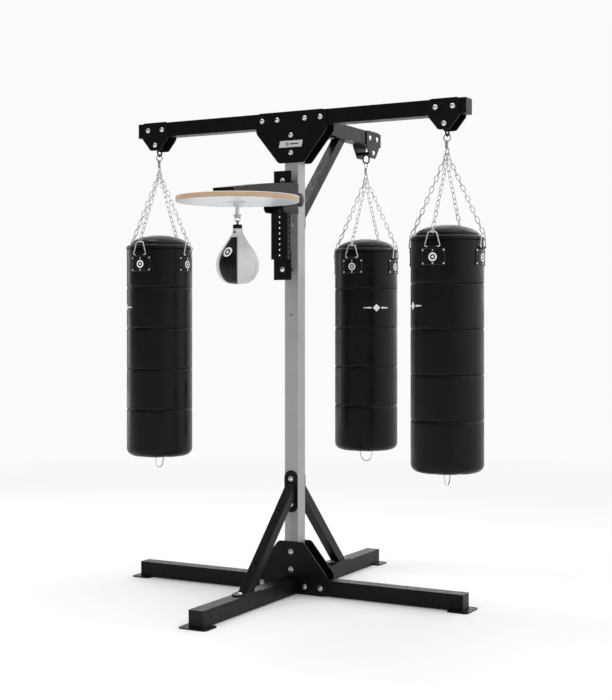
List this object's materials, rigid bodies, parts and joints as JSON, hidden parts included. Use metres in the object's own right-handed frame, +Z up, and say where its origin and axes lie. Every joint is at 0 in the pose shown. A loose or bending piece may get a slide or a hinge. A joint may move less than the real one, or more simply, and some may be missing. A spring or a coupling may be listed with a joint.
{
  "type": "punching bag stand",
  "caption": "Freestanding boxing stand: cross base, grey upright and black cross beams carry chained heavy bags and a height-adjustable speed-ball platform.",
  "frame": {"origin": "on the floor under the upright's axis, at the centre of the feet's anchor holes", "axes": "+X along the main beam to the right-hand bag, +Y towards the rear arm and its bag, -Y towards the speed-ball platform, +Z up"},
  "size_m": [2.0762, 1.9971, 2.467],
  "materials": {
    "black_paint": "satin",
    "silver_paint": "satin",
    "cap_plastic": "satin",
    "zinc_fasteners": "satin",
    "plaque_metal": "satin",
    "glide_plastic": "matte",
    "knob_plastic": "satin",
    "birch_board": "satin",
    "swivel_chrome": "polished",
    "collar_leather": "satin",
    "ball_leather": "satin",
    "chain_zinc": "polished",
    "strap_leather": "satin",
    "bag_leather": "satin",
    "bag_filling": "matte"
  },
  "bodies": {
    "stand": {"main_beam": "black_paint", "base_beam": "black_paint", "front_leg": "black_paint", "rear_leg": "black_paint", "rear_arm": "black_paint", "upper_gussets": "black_paint", "lower_gussets": "black_paint", "foot_plates": "black_paint", "head_brace": "black_paint", "front_base_brace": "black_paint", "rear_base_brace": "black_paint", "hanger_plates": "black_paint", "speed_mount_plate": "black_paint", "speed_spacers": "black_paint", "speed_rail": "black_paint", "upright": "silver_paint", "tube_end_caps": "cap_plastic", "label_plaque": "plaque_metal", "glide_strips": "glide_plastic", "gusset_bolts": "zinc_fasteners", "brace_bolts": "zinc_fasteners", "hanger_bolts": "zinc_fasteners", "speed_mount_bolts": "zinc_fasteners"},
    "ball_carriage": {"speed_arm": "black_paint", "ball_platform": "birch_board", "platform_screws": "zinc_fasteners", "ball_swivel_housing": "swivel_chrome"},
    "lock_pin": {"lock_pin": "zinc_fasteners", "lock_knob": "knob_plastic"},
    "ball_shank": {"ball_swivel_shank": "swivel_chrome"},
    "ball_shackle": {"ball_shackle": "swivel_chrome"},
    "speed_ball": {"ball_collar": "collar_leather", "speed_ball": "ball_leather"},
    "left_eye": {"hanger_eye_left": "black_paint"},
    "left_swivel": {"swivel_head_left": "chain_zinc"},
    "left_bag": {"swivel_tail_left": "chain_zinc", "bag_chains_left": "chain_zinc", "bag_rings_left": "chain_zinc", "bag_patches_left": "strap_leather", "bag_rivets_left": "chain_zinc", "bag_cover_left": "bag_leather", "bag_filling_left": "bag_filling"},
    "right_eye": {"hanger_eye_right": "black_paint"},
    "right_swivel": {"swivel_head_right": "chain_zinc"},
    "right_bag": {"swivel_tail_right": "chain_zinc", "bag_chains_right": "chain_zinc", "bag_rings_right": "chain_zinc", "bag_patches_right": "strap_leather", "bag_rivets_right": "chain_zinc", "bag_cover_right": "bag_leather", "bag_filling_right": "bag_filling"},
    "rear_eye": {"hanger_eye_rear": "black_paint"},
    "rear_swivel": {"swivel_head_rear": "chain_zinc"},
    "rear_bag": {"swivel_tail_rear": "chain_zinc", "bag_chains_rear": "chain_zinc", "bag_rings_rear": "chain_zinc", "bag_patches_rear": "strap_leather", "bag_rivets_rear": "chain_zinc", "bag_cover_rear": "bag_leather", "bag_filling_rear": "bag_filling"}
  },
  "joints": [
    {"name": "carriage_height", "type": "slide", "parent": "stand", "child": "ball_carriage", "axis": [0, 0, 1], "range_m": [-0.22, 0]},
    {"name": "lock_push", "type": "slide", "parent": "ball_carriage", "child": "lock_pin", "axis": [-1, 0, 0], "range_m": [0, 0.01]},
    {"name": "ball_spin", "type": "hinge", "parent": "ball_carriage", "child": "ball_shank", "pos_m": [0, -0.565, 1.936], "axis": [0, 0, 1], "continuous": true},
    {"name": "shackle_tilt", "type": "hinge", "parent": "ball_shank", "child": "ball_shackle", "pos_m": [0, -0.565, 1.896], "axis": [1, 0, 0], "range_deg": [-75, 75]},
    {"name": "ball_rock", "type": "hinge", "parent": "ball_shackle", "child": "speed_ball", "pos_m": [0, -0.565, 1.8802], "axis": [0, 1, 0], "range_deg": [-30, 30]},
    {"name": "left_swing_out", "type": "hinge", "parent": "stand", "child": "left_eye", "pos_m": [-0.843, 0, 2.345], "axis": [0, 1, 0], "range_deg": [-20, 30]},
    {"name": "left_swing_side", "type": "hinge", "parent": "left_eye", "child": "left_swivel", "pos_m": [-0.843, 0, 2.3075], "axis": [-1, 0, 0], "range_deg": [-30, 30]},
    {"name": "left_spin", "type": "hinge", "parent": "left_swivel", "child": "left_bag", "pos_m": [-0.843, 0, 2.24], "axis": [0, 0, 1], "continuous": true},
    {"name": "right_swing_out", "type": "hinge", "parent": "stand", "child": "right_eye", "pos_m": [0.843, 0, 2.345], "axis": [0, -1, 0], "range_deg": [-20, 30]},
    {"name": "right_swing_side", "type": "hinge", "parent": "right_eye", "child": "right_swivel", "pos_m": [0.843, 0, 2.3075], "axis": [1, 0, 0], "range_deg": [-30, 30]},
    {"name": "right_spin", "type": "hinge", "parent": "right_swivel", "child": "right_bag", "pos_m": [0.843, 0, 2.24], "axis": [0, 0, 1], "continuous": true},
    {"name": "rear_swing_out", "type": "hinge", "parent": "stand", "child": "rear_eye", "pos_m": [0, 0.836, 2.345], "axis": [1, 0, 0], "range_deg": [-20, 30]},
    {"name": "rear_swing_side", "type": "hinge", "parent": "rear_eye", "child": "rear_swivel", "pos_m": [0, 0.836, 2.3075], "axis": [0, 1, 0], "range_deg": [-30, 30]},
    {"name": "rear_spin", "type": "hinge", "parent": "rear_swivel", "child": "rear_bag", "pos_m": [0, 0.836, 2.24], "axis": [0, 0, 1], "continuous": true}
  ]
}
